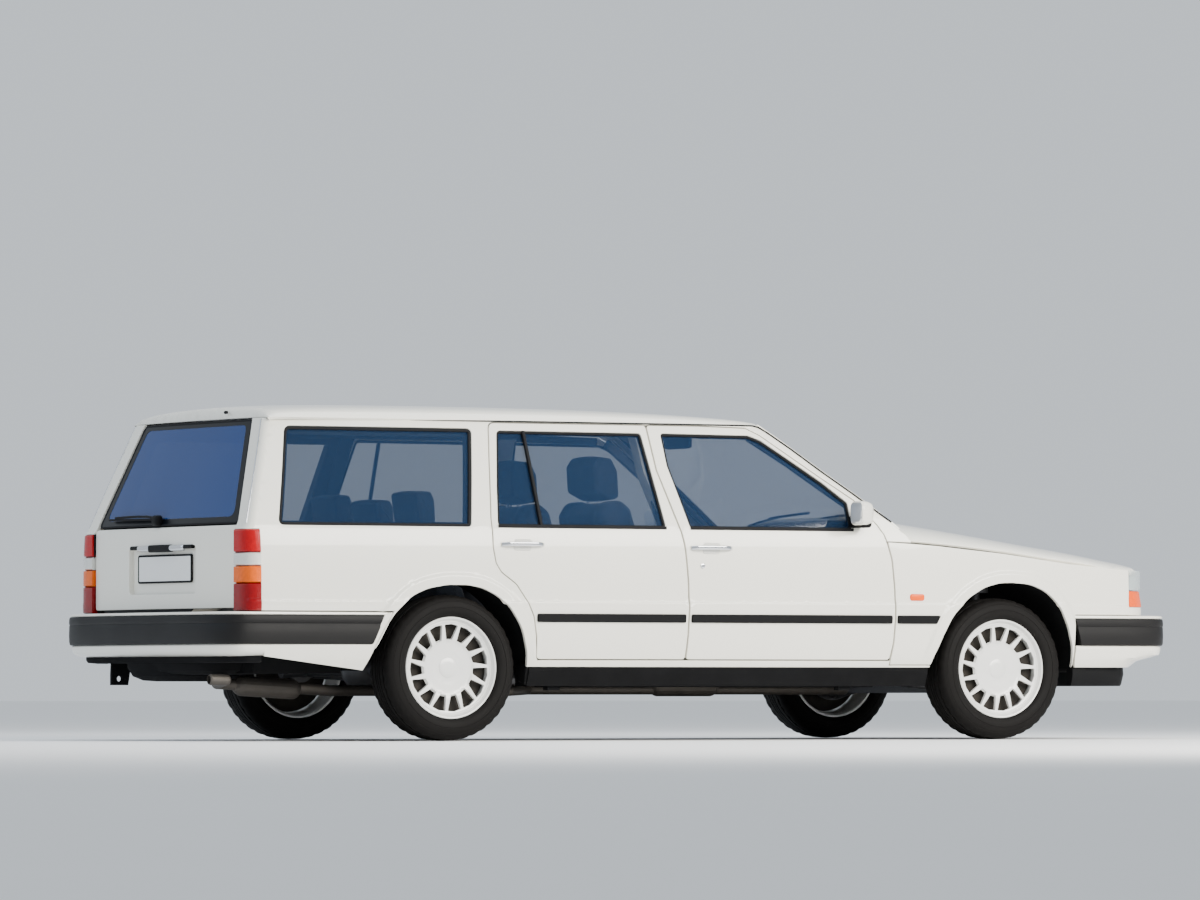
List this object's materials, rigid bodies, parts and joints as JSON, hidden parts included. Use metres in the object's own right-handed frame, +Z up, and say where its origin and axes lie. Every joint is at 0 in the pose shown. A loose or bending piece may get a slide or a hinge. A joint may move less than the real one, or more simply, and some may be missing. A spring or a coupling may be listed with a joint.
{
  "type": "station wagon",
  "caption": "Full-size station wagon with an upright tailgate, hinged doors, bonnet and tailgate, steered front wheels and wheels that turn.",
  "frame": {"origin": "on the ground under the middle of the car, at the bottom centre of its bounding box", "axes": "+X towards the front, +Y towards the car's left side, +Z up"},
  "size_m": [4.88, 2, 1.463],
  "materials": {
    "painted_steel": "gloss",
    "underbody_steel": "matte",
    "glass": "gloss",
    "lamp_clear": "gloss",
    "lamp_amber": "gloss",
    "lamp_red": "gloss",
    "seat_cloth": "matte",
    "cabin_plastic": "matte",
    "bumper_plastic": "satin",
    "bright_trim": "satin",
    "plate": "satin",
    "cast_iron": "matte",
    "exhaust_steel": "satin",
    "tyre_rubber": "matte",
    "wheel_alloy": "satin"
  },
  "bodies": {
    "body": {"floor_pan": "underbody_steel", "body_side_right": "painted_steel", "body_side_left": "painted_steel", "roof_panel": "painted_steel", "bulkhead": "underbody_steel", "inner_wings": "underbody_steel", "wing_right": "painted_steel", "wing_left": "painted_steel", "front_bumper": "bumper_plastic", "rear_bumper": "bumper_plastic", "grille": "bright_trim", "headlamps": "lamp_clear", "front_indicators": "lamp_amber", "tail_lamps": "lamp_red", "windscreen": "glass", "quarter_glass": "glass", "dashboard": "cabin_plastic", "steering_wheel": "cabin_plastic", "front_seats": "seat_cloth", "rear_seat": "seat_cloth", "engine": "cast_iron", "exhaust": "exhaust_steel", "rear_axle": "cast_iron", "front_suspension": "cast_iron"},
    "bonnet": {"bonnet": "painted_steel"},
    "tailgate": {"tailgate": "painted_steel", "tailgate_glass": "glass", "number_plate": "plate"},
    "front_door_right": {"front_door_right": "painted_steel", "front_glass_right": "glass", "door_mirror_right": "painted_steel"},
    "rear_door_right": {"rear_door_right": "painted_steel", "rear_glass_right": "glass"},
    "knuckle_right": {"knuckle_right": "cast_iron"},
    "wheel_front_right": {"tyre_front_right": "tyre_rubber", "rim_front_right": "wheel_alloy"},
    "wheel_rear_right": {"tyre_rear_right": "tyre_rubber", "rim_rear_right": "wheel_alloy"},
    "front_door_left": {"front_door_left": "painted_steel", "front_glass_left": "glass", "door_mirror_left": "painted_steel"},
    "rear_door_left": {"rear_door_left": "painted_steel", "rear_glass_left": "glass"},
    "knuckle_left": {"knuckle_left": "cast_iron"},
    "wheel_front_left": {"tyre_front_left": "tyre_rubber", "rim_front_left": "wheel_alloy"},
    "wheel_rear_left": {"tyre_rear_left": "tyre_rubber", "rim_rear_left": "wheel_alloy"}
  },
  "joints": [
    {"name": "front_door_right_hinge", "type": "hinge", "parent": "body", "child": "front_door_right", "pos_m": [0.883, -0.889, 0.7], "axis": [0, 0, 1], "range_deg": [0, 65]},
    {"name": "rear_door_right_hinge", "type": "hinge", "parent": "body", "child": "rear_door_right", "pos_m": [-0.154, -0.891, 0.7], "axis": [0, 0, 1], "range_deg": [0, 65]},
    {"name": "front_door_left_hinge", "type": "hinge", "parent": "body", "child": "front_door_left", "pos_m": [0.883, 0.889, 0.7], "axis": [0, 0, -1], "range_deg": [0, 65]},
    {"name": "rear_door_left_hinge", "type": "hinge", "parent": "body", "child": "rear_door_left", "pos_m": [-0.154, 0.891, 0.7], "axis": [0, 0, -1], "range_deg": [0, 65]},
    {"name": "bonnet_hinge", "type": "hinge", "parent": "body", "child": "bonnet", "pos_m": [0.93, 0, 1], "axis": [0, -1, 0], "range_deg": [0, 55]},
    {"name": "tailgate_hinge", "type": "hinge", "parent": "body", "child": "tailgate", "pos_m": [-2.105, 0, 1.405], "axis": [0, 1, 0], "range_deg": [0, 80]},
    {"name": "steer_left", "type": "hinge", "parent": "body", "child": "knuckle_left", "pos_m": [1.455, 0.64, 0.314], "axis": [0, 0, 1], "range_deg": [-33, 33]},
    {"name": "steer_right", "type": "hinge", "parent": "body", "child": "knuckle_right", "pos_m": [1.455, -0.64, 0.314], "axis": [0, 0, 1], "range_deg": [-33, 33]},
    {"name": "wheel_front_right_spin", "type": "hinge", "parent": "knuckle_right", "child": "wheel_front_right", "pos_m": [1.455, -0.735, 0.314], "axis": [0, 1, 0], "continuous": true},
    {"name": "wheel_rear_right_spin", "type": "hinge", "parent": "body", "child": "wheel_rear_right", "pos_m": [-1.315, -0.735, 0.314], "axis": [0, 1, 0], "continuous": true},
    {"name": "wheel_front_left_spin", "type": "hinge", "parent": "knuckle_left", "child": "wheel_front_left", "pos_m": [1.455, 0.735, 0.314], "axis": [0, 1, 0], "continuous": true},
    {"name": "wheel_rear_left_spin", "type": "hinge", "parent": "body", "child": "wheel_rear_left", "pos_m": [-1.315, 0.735, 0.314], "axis": [0, 1, 0], "continuous": true}
  ],
  "couplings": [
    {"joint": "steer_right", "follows": "steer_left", "ratio": 1}
  ]
}
